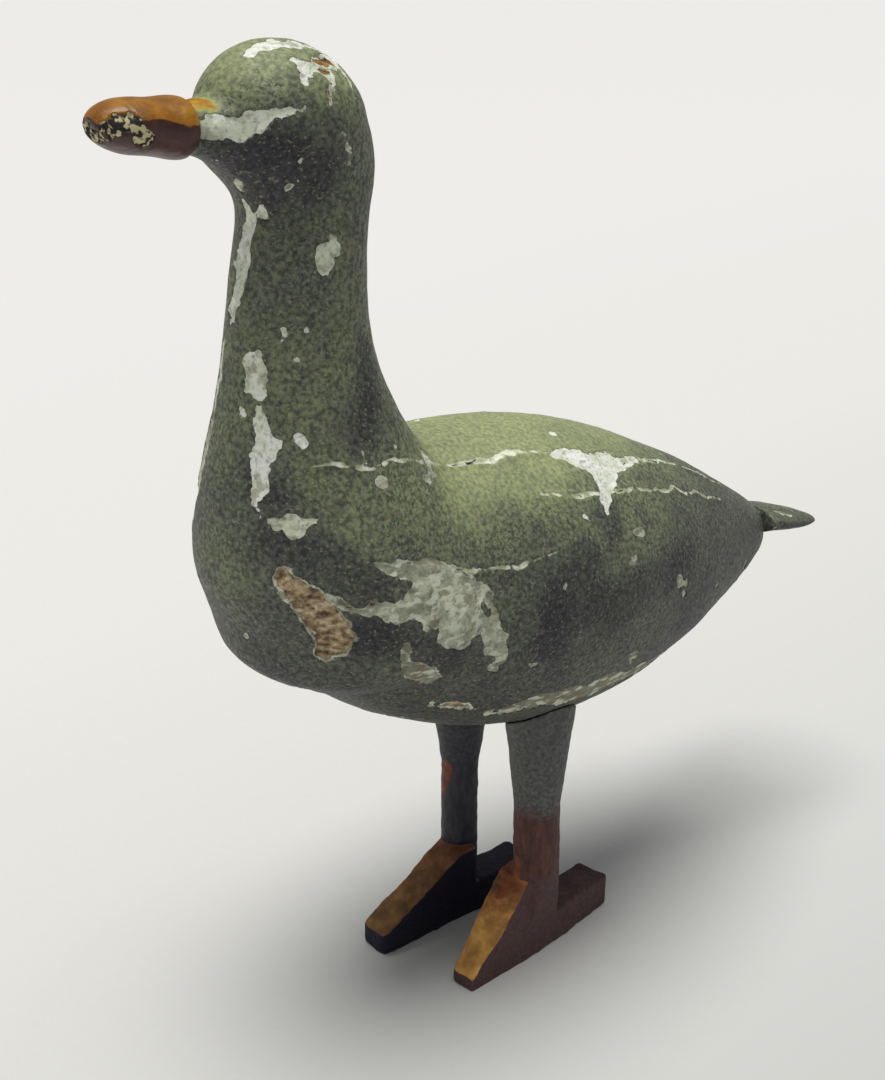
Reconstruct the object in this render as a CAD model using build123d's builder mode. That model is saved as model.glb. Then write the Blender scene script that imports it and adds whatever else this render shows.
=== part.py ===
"""A small carved and painted wooden goose, made of nine pieces of wood pegged and glued together.

The goose looks along -Y and its left side is +X. Its soles stand on Z = 0, and the origin is on the floor,
halfway between the tip of the bill and the tip of the tail. Places along the goose are given as "ahead",
the distance towards the bill, so ahead = -Y.
"""

import os
from math import cos, pi, radians, sin, sqrt

from build123d import *

os.makedirs("parts", exist_ok=True)

# ---- trunk: an egg-shaped block that tapers to a blunt rear end ----
trunk_length = 46.0
trunk_depth = 19.8
trunk_width = 18.6
trunk_pitch = 12.0          # degrees that the breast is carried above the rump
trunk_sag = 1.25            # how far the middle of the trunk hangs below its straight axis
trunk_rear_ahead = -22.3
trunk_rear_height = 22.8
trunk_rear_depth = 4.4      # the flat end that the tail is glued to
trunk_fullest = 0.54        # where the trunk is deepest, from the rear end
rump_taper = 1.62           # 1 is a cone, 2 a round rump

# ---- neck: upright, flaring into the breast ----
neck_top_length = 7.3
neck_foot_length = 18.6
neck_roundness = 0.92       # width of a section over its length
neck_flare = 2.15           # 1 is a plain S, more keeps the neck slim for longer
neck_foot_height = 28.5
neck_foot_drop = 5.0        # how far the breast rounds under below the neck's foot
neck_top_height = 53.5
neck_top_rise = 4.0         # the round top of the neck, behind and inside the head
neck_foot_ahead = 13.9
neck_bend_ahead = 18.0
neck_top_ahead = 17.1

# ---- head and bill ----
head_length = 9.6
head_depth = 8.3
head_width = 8.2
head_ahead = 18.8
head_height = 55.5
head_pitch = 22.0
bill_tip_ahead = 29.6
bill_seat_ahead = 24.8      # where the bill's shoulder meets the face
bill_seat_height = 55.9
bill_pitch = 6.0
bill_depth = 2.9
bill_tip_depth = 2.4
bill_width = 3.9
bill_step = 0.15            # how far the bill stands proud of the face

# ---- tail: a flat drooping paddle ----
tail_length = 7.8
tail_width = 5.6
tail_thickness = 2.1
tail_tip_share = 0.45       # thickness left just before the rounded tip
tail_droop = 13.0
tail_rise = 1.1             # how far the paddle sits above the middle of the trunk's end

# ---- legs and feet ----
leg_ahead = 3.1
left_leg_across = 4.0       # from the middle of the goose to the middle of the shank
right_leg_across = 3.5
thigh_diameter = 5.2
left_shank_diameter = 3.1
right_shank_diameter = 2.6
thigh_end_height = 11.5
left_ankle_height = 6.3
right_ankle_height = 5.3
foot_width = 2.6
foot_inset = 0.6            # how far a foot sits inward of its shank
toe_width = 2.3
left_toe_thickness = 0.9
right_toe_thickness = 1.5
heel_thickness = 2.4
left_toe_reach = 6.5        # from the middle of the shank to the end of the toe
left_heel_reach = 7.4
right_toe_reach = 8.2
right_heel_reach = 5.2
left_toe_turn = 6.0         # degrees that a foot is turned to the goose's left
right_toe_turn = -2.0

# ---- joints ----
glue_gap = 0.05
hole_clearance = 0.05       # on the radius of every peg
hole_bottom_gap = 0.3       # air left behind the end of every peg
neck_joint_ahead = 16.5
neck_joint_height = 36.6
neck_joint_slope = 17.0     # degrees; the joint runs down towards the breast
neck_dowel_diameter = 3.0
neck_dowel_length = 12.0
notch_ahead = 16.7          # the upright face of the notch in the neck's top
notch_height = 52.9         # the floor of that notch
head_dowel_ahead = 18.5
head_dowel_diameter = 1.5
head_dowel_length = 4.6
bill_peg_diameter = 1.6
bill_peg_length = 3.0
tail_tongue_width = 2.6
tail_tongue_thickness = 1.1
tail_tongue_length = 5.0
leg_tenon_diameter = 2.8
leg_tenon_length = 5.0

# ---- rounding ----
foot_edge_radius = 0.3
blunt_end = 0.985           # a loft ends just short of its pole, in a tiny flat

along_trunk = (cos(radians(trunk_pitch)), sin(radians(trunk_pitch)))


def goose_plane(ahead, height, pitch):
    """A plane across the goose, facing ahead and up by the pitch, with its X to the goose's left."""
    facing = (0, -cos(radians(pitch)), sin(radians(pitch)))
    return Plane(origin=(0, -ahead, height), x_dir=(1, 0, 0), z_dir=facing)


def carved_form(sections):
    """A solid lofted through ellipses, each one (ahead, height, pitch, width, depth)."""
    with BuildPart() as form:
        for ahead, height, pitch, width, depth in sections:
            with BuildSketch(goose_plane(ahead, height, pitch)):
                Ellipse(width / 2, depth / 2)
        loft()
    return form.part


def trunk_centre(share):
    """The trunk's axis at a share of its length, as (ahead, height)."""
    reach = share * trunk_length
    sag = trunk_sag * sin(pi * share)
    ahead = trunk_rear_ahead + reach * along_trunk[0] + sag * along_trunk[1]
    return ahead, trunk_rear_height + reach * along_trunk[1] - sag * along_trunk[0]


def trunk_depth_at(share):
    """The trunk's depth at a share of its length: a tapering rump and a round breast."""
    if share < trunk_fullest:
        from_fullest = (trunk_fullest - share) / trunk_fullest
        return trunk_rear_depth + (trunk_depth - trunk_rear_depth) * (1 - from_fullest**rump_taper)
    from_fullest = (share - trunk_fullest) / (1 - trunk_fullest)
    return trunk_depth * sqrt(1 - from_fullest**2)


def neck_section(share):
    """The neck at a share of its height: a long foot that narrows in an S to the top."""
    height = neck_foot_height + share * (neck_top_height - neck_foot_height)
    spread = ((1 + cos(pi * share)) / 2) ** neck_flare
    length = neck_top_length + (neck_foot_length - neck_top_length) * spread
    ahead = (neck_spine.line @ share).X
    return ahead, height, 90, length * neck_roundness, length


# ---- the outer forms, which several pieces share ----
trunk_shares = [0, 0.08, 0.18, 0.3, 0.42, 0.54, 0.66, 0.77, 0.86, 0.93, 0.975, 0.995]
trunk_width_share = trunk_width / trunk_depth
trunk_form = carved_form(
    [
        (*trunk_centre(share), trunk_pitch, trunk_depth_at(share) * trunk_width_share, trunk_depth_at(share))
        for share in trunk_shares
    ]
)

neck_bend_height = (neck_foot_height + neck_top_height) / 2
with BuildLine() as neck_spine:
    Spline(
        (neck_foot_ahead, neck_foot_height),
        (neck_bend_ahead, neck_bend_height),
        (neck_top_ahead, neck_top_height),
    )
neck_sections = [neck_section(step / 8) for step in range(9)]
neck_foot = neck_section(0)
neck_top = neck_section(1)
for step in range(1, 6):
    turn = step * pi / 2 / 5 * blunt_end
    ahead, height, pitch, width, length = neck_foot
    low = (ahead, height - neck_foot_drop * sin(turn), pitch, width * cos(turn), length * cos(turn))
    neck_sections.insert(0, low)
    ahead, height, pitch, width, length = neck_top
    high = (ahead, height + neck_top_rise * sin(turn), pitch, width * cos(turn), length * cos(turn))
    neck_sections.append(high)
neck_form = carved_form(neck_sections)

along_head = (cos(radians(head_pitch)), sin(radians(head_pitch)))
head_sections = []
for step in range(-6, 7):
    turn = step * pi / 12
    offset = sin(turn) * blunt_end * head_length / 2
    fullness = sqrt(1 - (sin(turn) * blunt_end) ** 2)
    head_sections.append(
        (
            head_ahead + offset * along_head[0],
            head_height + offset * along_head[1],
            head_pitch,
            head_width * fullness,
            head_depth * fullness,
        )
    )
skull_form = carved_form(head_sections)

along_bill = (cos(radians(bill_pitch)), sin(radians(bill_pitch)))
bill_length = (bill_tip_ahead - bill_seat_ahead) / along_bill[0]


def bill_centre(reach):
    """The bill's axis at a distance ahead of its shoulder, as (ahead, height)."""
    return bill_seat_ahead + reach * along_bill[0], bill_seat_height + reach * along_bill[1]


face_width = bill_width - 2 * bill_step
face_depth = bill_depth - 2 * bill_step
face_root = -(bill_seat_ahead - head_ahead)
face_form = carved_form(
    [
        (*bill_centre(face_root), bill_pitch, head_width * 0.8, head_depth * 0.72),
        (*bill_centre(face_root * 0.6), bill_pitch, head_width * 0.74, head_depth * 0.64),
        (*bill_centre(face_root * 0.25), bill_pitch, face_width * 1.2, face_depth * 1.25),
        (*bill_centre(0), bill_pitch, face_width, face_depth),
    ]
)

bill_sections = []
for share in [0, 0.3, 0.6, 0.8, 0.9, 0.96, blunt_end]:
    round_off = sqrt(1 - max(0, (share - 0.6) / 0.4) ** 2)
    depth = bill_depth + (bill_tip_depth - bill_depth) * share
    bill_sections.append(
        (*bill_centre(share * bill_length), bill_pitch, bill_width * round_off, depth * round_off)
    )

tail_joint = goose_plane(
    trunk_rear_ahead - tail_rise * along_trunk[1],
    trunk_rear_height + tail_rise * along_trunk[0],
    trunk_pitch,
)
tail_root = tail_joint.offset(-glue_gap).origin
tail_sections = []
for share in [0, 0.25, 0.5, 0.7, 0.85, 0.94, blunt_end]:
    reach = share * tail_length
    turn = radians(tail_droop * min(1, share * 4))
    pitch = trunk_pitch * max(0, 1 - share * 4)
    round_off = sqrt(1 - share**4)
    taper = 1 + (tail_tip_share - 1) * share
    tail_sections.append(
        (
            -tail_root.Y - reach * cos(turn),
            tail_root.Z - reach * sin(turn),
            pitch,
            tail_width * round_off,
            tail_thickness * taper * round_off,
        )
    )

# ---- joint planes ----
neck_joint = goose_plane(neck_joint_ahead, neck_joint_height, 90 - neck_joint_slope)
bill_joint = goose_plane(*bill_centre(0), bill_pitch)

# ---- where the legs meet the belly ----
leg_share = (leg_ahead - trunk_rear_ahead) / (trunk_length * along_trunk[0])
belly_depth = trunk_depth_at(leg_share) / 2 / along_trunk[0]
side_share = sqrt(1 - (2 * left_leg_across / (trunk_depth_at(leg_share) * trunk_width_share)) ** 2)
leg_seat_height = trunk_centre(leg_share)[1] - belly_depth * side_share
thigh_top_height = leg_seat_height + thigh_diameter / 2
leg_tenon_height = leg_seat_height + leg_tenon_length
leg_tenon_root = leg_seat_height - thigh_diameter / 2

# ---- trunk block: everything below the slanted neck joint ----
with BuildPart() as body:
    add(trunk_form)
    add(neck_form)
    split(bisect_by=neck_joint.offset(-glue_gap / 2), keep=Keep.BOTTOM)
    with BuildSketch(neck_joint):
        Circle(neck_dowel_diameter / 2 + hole_clearance)
    extrude(amount=-neck_dowel_length / 2 - hole_bottom_gap, mode=Mode.SUBTRACT)
    with BuildSketch(tail_joint):
        Rectangle(tail_tongue_width + 2 * hole_clearance, tail_tongue_thickness + 2 * hole_clearance)
    extrude(amount=tail_tongue_length + hole_bottom_gap, mode=Mode.SUBTRACT)
    with BuildSketch(Plane.XY.offset(leg_tenon_height + hole_bottom_gap)):
        with Locations((-right_leg_across, -leg_ahead), (left_leg_across, -leg_ahead)):
            Circle(leg_tenon_diameter / 2 + hole_clearance)
    extrude(amount=-leg_tenon_height, mode=Mode.SUBTRACT)

# ---- neck block: everything above that joint, with a notch for the head ----
with BuildPart() as neck:
    add(trunk_form)
    add(neck_form)
    add(skull_form)
    split(bisect_by=neck_joint.offset(glue_gap / 2), keep=Keep.TOP)
    with BuildSketch(Plane.XY.offset(notch_height)):
        with Locations((0, -notch_ahead)):
            Rectangle(2 * trunk_width, trunk_length, align=(Align.CENTER, Align.MAX))
    extrude(amount=head_depth * 2, mode=Mode.SUBTRACT)
    with BuildSketch(neck_joint):
        Circle(neck_dowel_diameter / 2 + hole_clearance)
    extrude(amount=neck_dowel_length / 2 + hole_bottom_gap, mode=Mode.SUBTRACT)
    with BuildSketch(Plane.XY.offset(notch_height)):
        with Locations((0, -head_dowel_ahead)):
            Circle(head_dowel_diameter / 2 + hole_clearance)
    extrude(amount=-head_dowel_length / 2 - hole_bottom_gap, mode=Mode.SUBTRACT)

# ---- head block: crown and face, with blind holes for its dowel and the bill's peg ----
with BuildPart() as head:
    add(skull_form)
    add(neck_form)
    add(face_form)
    split(bisect_by=goose_plane(notch_ahead + glue_gap, notch_height, 0), keep=Keep.TOP)
    split(bisect_by=Plane.XY.offset(notch_height + glue_gap), keep=Keep.TOP)
    split(bisect_by=bill_joint.offset(-glue_gap / 2), keep=Keep.BOTTOM)
    with BuildSketch(Plane.XY.offset(notch_height)):
        with Locations((0, -head_dowel_ahead)):
            Circle(head_dowel_diameter / 2 + hole_clearance)
    extrude(amount=head_dowel_length / 2 + hole_bottom_gap, mode=Mode.SUBTRACT)
    with BuildSketch(bill_joint):
        Circle(bill_peg_diameter / 2 + hole_clearance)
    extrude(amount=-bill_peg_length - hole_bottom_gap, mode=Mode.SUBTRACT)

# ---- bill: a round-ended stick with a shoulder and a peg ----
with BuildPart() as bill:
    add(carved_form(bill_sections))
    split(bisect_by=bill_joint.offset(glue_gap / 2), keep=Keep.TOP)
    with BuildSketch(bill_joint.offset(glue_gap / 2)):
        Circle(bill_peg_diameter / 2)
    extrude(amount=-bill_peg_length)

# ---- tail: the paddle, with a flat tongue for the trunk's slot ----
with BuildPart() as tail:
    add(carved_form(tail_sections))
    with BuildSketch(tail_joint.offset(-glue_gap)):
        Rectangle(tail_tongue_width, tail_tongue_thickness)
    extrude(amount=tail_tongue_length + glue_gap)


def make_foot(shank_diameter, ankle_height, toe_thickness, toe_reach, heel_reach):
    """A wedge foot below a shank that stands at the origin, with its toe towards -Y."""
    with BuildPart() as foot:
        with BuildSketch(Plane.YZ):
            with BuildLine():
                Polyline(
                    (heel_reach, 0),
                    (-toe_reach, 0),
                    (-toe_reach, toe_thickness),
                    (-shank_diameter / 2, ankle_height),
                    (0, ankle_height),
                    (0, heel_thickness),
                    (heel_reach, heel_thickness),
                    close=True,
                )
            make_face()
        extrude(amount=foot_width / 2, both=True)
        with BuildSketch(Plane.XY):
            with BuildLine():
                Polyline(
                    (-foot_width / 2, heel_reach),
                    (foot_width / 2, heel_reach),
                    (foot_width / 2, 0),
                    (toe_width / 2, -toe_reach),
                    (-toe_width / 2, -toe_reach),
                    (-foot_width / 2, 0),
                    close=True,
                )
            make_face()
        extrude(amount=ankle_height, mode=Mode.INTERSECT)
        uprights = foot.edges().filter_by(Axis.Z).group_by(Axis.Y)
        fillet(uprights[0] + uprights[-1], foot_edge_radius)
    return foot.part


def make_leg(across, shank_diameter, foot_across, toe_turn, foot_part):
    """A leg at a distance across the goose: thigh, shank and foot in one, with a round tenon."""
    with BuildPart() as leg:
        add(Pos(foot_across, -leg_ahead, 0) * Rot(0, 0, toe_turn) * foot_part)
        for low, high, diameter in [
            (heel_thickness / 2, thigh_end_height, shank_diameter),
            (thigh_end_height, thigh_top_height, thigh_diameter),
        ]:
            with BuildSketch(Plane.XY.offset(low)):
                with Locations((across, -leg_ahead)):
                    Circle(shank_diameter / 2)
            with BuildSketch(Plane.XY.offset(high)):
                with Locations((across, -leg_ahead)):
                    Circle(diameter / 2)
            loft()
        add(scribe, mode=Mode.SUBTRACT)
        with BuildSketch(Plane.XY.offset(leg_tenon_root)):
            with Locations((across, -leg_ahead)):
                Circle(leg_tenon_diameter / 2)
        extrude(amount=leg_tenon_height - leg_tenon_root)
    return leg


# The thighs are scribed to the belly, a glue line below it.
scribe = Pos(0, 0, -glue_gap) * trunk_form
foot_left = make_foot(
    left_shank_diameter, left_ankle_height, left_toe_thickness, left_toe_reach, left_heel_reach
)
foot_right = make_foot(
    right_shank_diameter, right_ankle_height, right_toe_thickness, right_toe_reach, right_heel_reach
)
leg_left = make_leg(
    left_leg_across, left_shank_diameter, left_leg_across - foot_inset, left_toe_turn, foot_left
)
leg_right = make_leg(
    -right_leg_across, right_shank_diameter, foot_inset - right_leg_across, right_toe_turn, foot_right
)

# ---- hidden dowels ----
with BuildPart() as neck_dowel:
    with BuildSketch(neck_joint.offset(-neck_dowel_length / 2)):
        Circle(neck_dowel_diameter / 2)
    extrude(amount=neck_dowel_length)

with BuildPart() as head_dowel:
    with BuildSketch(Plane.XY.offset(notch_height - head_dowel_length / 2)):
        with Locations((0, -head_dowel_ahead)):
            Circle(head_dowel_diameter / 2)
    extrude(amount=head_dowel_length)

# ---- one file for each piece ----
body.part.label = "body"
export_step(body.part, "parts/body.step")
neck.part.label = "neck"
export_step(neck.part, "parts/neck.step")
head.part.label = "head"
export_step(head.part, "parts/head.step")
bill.part.label = "bill"
export_step(bill.part, "parts/bill.step")
tail.part.label = "tail"
export_step(tail.part, "parts/tail.step")
leg_left.part.label = "leg_left"
export_step(leg_left.part, "parts/leg_left.step")
leg_right.part.label = "leg_right"
export_step(leg_right.part, "parts/leg_right.step")
neck_dowel.part.label = "neck_dowel"
export_step(neck_dowel.part, "parts/neck_dowel.step")
head_dowel.part.label = "head_dowel"
export_step(head_dowel.part, "parts/head_dowel.step")
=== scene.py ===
# %% [markdown]
# # A carved and painted wooden goose
# This lesson dresses a small folk-art goose: a softwood body, neck, head and tail, a waxed
# amber bill and two whittled legs. The real toy was carved with a knife, coated with white
# gesso, painted grey green and then handled for a very long time, so most of the work here is
# wear: paint that has flaked off the gesso, and gesso that has flaked off the wood.
# The CAD parts arrive first. They fix every size, and nothing here moves them.

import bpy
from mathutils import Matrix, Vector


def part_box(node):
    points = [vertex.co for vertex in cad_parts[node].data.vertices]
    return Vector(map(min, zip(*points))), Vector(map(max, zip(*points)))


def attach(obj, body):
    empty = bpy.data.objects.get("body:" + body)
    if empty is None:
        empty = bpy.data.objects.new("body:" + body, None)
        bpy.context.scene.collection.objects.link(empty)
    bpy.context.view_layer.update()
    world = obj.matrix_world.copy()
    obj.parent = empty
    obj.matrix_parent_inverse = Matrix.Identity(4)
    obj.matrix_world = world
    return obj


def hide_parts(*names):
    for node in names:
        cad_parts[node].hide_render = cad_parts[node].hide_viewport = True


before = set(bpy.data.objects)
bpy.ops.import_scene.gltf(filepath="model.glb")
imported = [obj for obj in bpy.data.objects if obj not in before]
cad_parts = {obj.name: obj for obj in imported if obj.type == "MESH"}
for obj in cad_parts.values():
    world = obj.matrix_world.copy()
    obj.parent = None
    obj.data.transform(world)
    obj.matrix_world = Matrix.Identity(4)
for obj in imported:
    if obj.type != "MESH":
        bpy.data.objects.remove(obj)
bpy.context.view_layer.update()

# %% [markdown]
# Three small tools come first. Lengths on a goose this size are easiest to think about in
# millimetres, so shaping happens in millimetres and each piece shrinks to metres at the end.
# `lumps` is seeded random hills, so the script makes the same goose on every run.

# %% Millimetres, soft steps and seeded hills
import math

import bmesh
import bpy
import numpy as np
from mathutils import Vector
from mathutils.kdtree import KDTree

MM = 0.001
HILL_GRID = 40
TWIST = np.array([[0.36, 0.48, -0.80], [-0.80, 0.60, 0.00], [0.48, 0.64, 0.60]])


def soft_step(value, low, high):
    """Nought below low, one above high, and a smooth rise between them."""
    share = np.clip((value - low) / (high - low), 0, 1)
    return share * share * (3 - 2 * share)


def lumps(points, size, seed, octaves=2):
    """Random hills from about -1 to 1, roughly size millimetres across."""
    total = np.zeros(len(points))
    for octave in range(octaves):
        grid = np.random.default_rng(seed + octave).uniform(-1, 1, (HILL_GRID,) * 3)
        place = points @ TWIST / size * 2**octave
        cell = np.floor(place).astype(int)
        part = place - cell
        part = part * part * (3 - 2 * part)
        for corner in np.ndindex(2, 2, 2):
            near = (cell + corner) % HILL_GRID
            weight = np.prod(np.where(corner, part, 1 - part), axis=1)
            total += weight * grid[near[:, 0], near[:, 1], near[:, 2]] / 2**octave
    return total


sample = np.random.default_rng(1).uniform(0, 9, (999, 3))
print("hills reach", round(float(lumps(sample, 1, 5).max()), 2))

# %% [markdown]
# A piece starts as a copy of its CAD nodes. Voxel remeshing rebuilds that copy as one even skin
# of small squares, fine enough to hold a flake of paint. It also closes the hair-wide glue
# joints, because on the real goose gesso runs straight across them. Hollows left inside by the
# dowel holes are dropped, so that only the outer skin stays.

# %% Copy CAD nodes into one even skin


def millimetre_copy(title, node_names):
    """One object in millimetres that holds copies of the named CAD nodes."""
    mesh = bpy.data.meshes.new(title)
    joined = bmesh.new()
    for name in node_names:
        joined.from_mesh(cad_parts[name].data)
    bmesh.ops.remove_doubles(joined, verts=joined.verts, dist=1e-6)
    bmesh.ops.scale(joined, vec=(1 / MM,) * 3, verts=joined.verts)
    joined.to_mesh(mesh)
    joined.free()
    piece = bpy.data.objects.new(title, mesh)
    bpy.context.scene.collection.objects.link(piece)
    return piece


def settle(piece):
    """Turns a piece's modifiers into its own mesh."""
    bpy.context.view_layer.update()
    seen = piece.evaluated_get(bpy.context.evaluated_depsgraph_get())
    shaped = bpy.data.meshes.new_from_object(seen)
    piece.modifiers.clear()
    piece.data = shaped


def keep_outer_shell(piece):
    """Drops every shell that isn't joined to the piece's highest point."""
    shell = bmesh.new()
    shell.from_mesh(piece.data)
    front = [max(shell.verts, key=lambda vert: vert.co.z)]
    reached = set(front)
    while front:
        vert = front.pop()
        for edge in vert.link_edges:
            other = edge.other_vert(vert)
            if other not in reached:
                reached.add(other)
                front.append(other)
    inner = [vert for vert in shell.verts if vert not in reached]
    bmesh.ops.delete(shell, geom=inner, context="VERTS")
    shell.to_mesh(piece.data)
    shell.free()


def even_skin(title, node_names, voxel, smoothing):
    """A smooth, even skin of small squares over the named CAD nodes."""
    piece = millimetre_copy(title, node_names)
    remesh = piece.modifiers.new("even squares", "REMESH")
    remesh.mode = "VOXEL"
    remesh.voxel_size = voxel
    remesh.use_smooth_shade = True
    smooth = piece.modifiers.new("sanded", "SMOOTH")
    smooth.factor = 0.5
    smooth.iterations = smoothing
    settle(piece)
    keep_outer_shell(piece)
    print(title, "has", len(piece.data.polygons), "faces")
    return piece


SKIN_SQUARE = 0.187
SKIN_NODES = ["body", "neck", "head", "neck_dowel", "head_dowel"]
skin = even_skin("goose_skin", SKIN_NODES, SKIN_SQUARE, 5)

# %% [markdown]
# Wear is described as bands. A band is a line of stops on the goose, each given as millimetres
# to its left, ahead and up, with the band's half width there. A point inside a band has a
# positive value, in millimetres, which both the carving and the colours read later on.

# %% Measure bands of wear


def spots(piece):
    """The piece's points and outward directions, as arrays."""
    mesh = piece.data
    points = np.empty(len(mesh.vertices) * 3)
    mesh.vertices.foreach_get("co", points)
    normals = np.empty(len(mesh.vertices) * 3)
    mesh.vertex_normals.foreach_get("vector", normals)
    return points.reshape(-1, 3), normals.reshape(-1, 3)


def inside_band(points, stops):
    """How far inside a band each point lies, negative outside it."""
    stops = np.array(stops, float)
    centres, widths = stops[:, :3] * (1, -1, 1), stops[:, 3]
    best = widths[0] - np.linalg.norm(points - centres[0], axis=1)
    for near, far, start, end in zip(centres, centres[1:], widths, widths[1:]):
        run = far - near
        along = np.clip((points - near) @ run / (run @ run), 0, 1)
        gap = np.linalg.norm(points - near - along[:, None] * run, axis=1)
        best = np.maximum(best, start + (end - start) * along - gap)
    return best


# %% [markdown]
# The carver rounded the throat into the head and the neck into the back with a knife, and the
# gesso filled what was left. So the skin is sanded harder at the throat and round the foot of
# the neck.

# %% Ease the creases at the throat and the shoulders
CREASES = [
    ((0, 18.5, 53.0), 6.5),
    ((0, 10.5, 37.2), 6.0),
    ((5.4, 13.5, 35.4), 5.5),
    ((-5.4, 13.5, 35.4), 5.5),
]
CREASE_ROUNDS = 300


def ease_creases(piece):
    """Smooths a piece near its creases and leaves the rest alone."""
    places, _ = spots(piece)
    weight = np.zeros(len(places))
    for centre, reach in CREASES:
        gap = np.linalg.norm(places - np.array(centre) * (1, -1, 1), axis=1)
        weight = np.maximum(weight, 1 - soft_step(gap, reach * 0.5, reach))
    group = piece.vertex_groups.new(name="creases")
    for number in np.flatnonzero(weight > 0.01).tolist():
        group.add([number], float(weight[number]), "REPLACE")
    sanded = piece.modifiers.new("sanded harder", "SMOOTH")
    sanded.vertex_group = "creases"
    sanded.factor = 0.5
    sanded.iterations = CREASE_ROUNDS
    settle(piece)
    piece.vertex_groups.clear()


ease_creases(skin)

# %% [markdown]
# Paint has flaked off in these bands, and white gesso shows. The first number is how clean the
# gesso is: fresh breaks are nearly white, and old ones are as grey as the paint round them.

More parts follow.
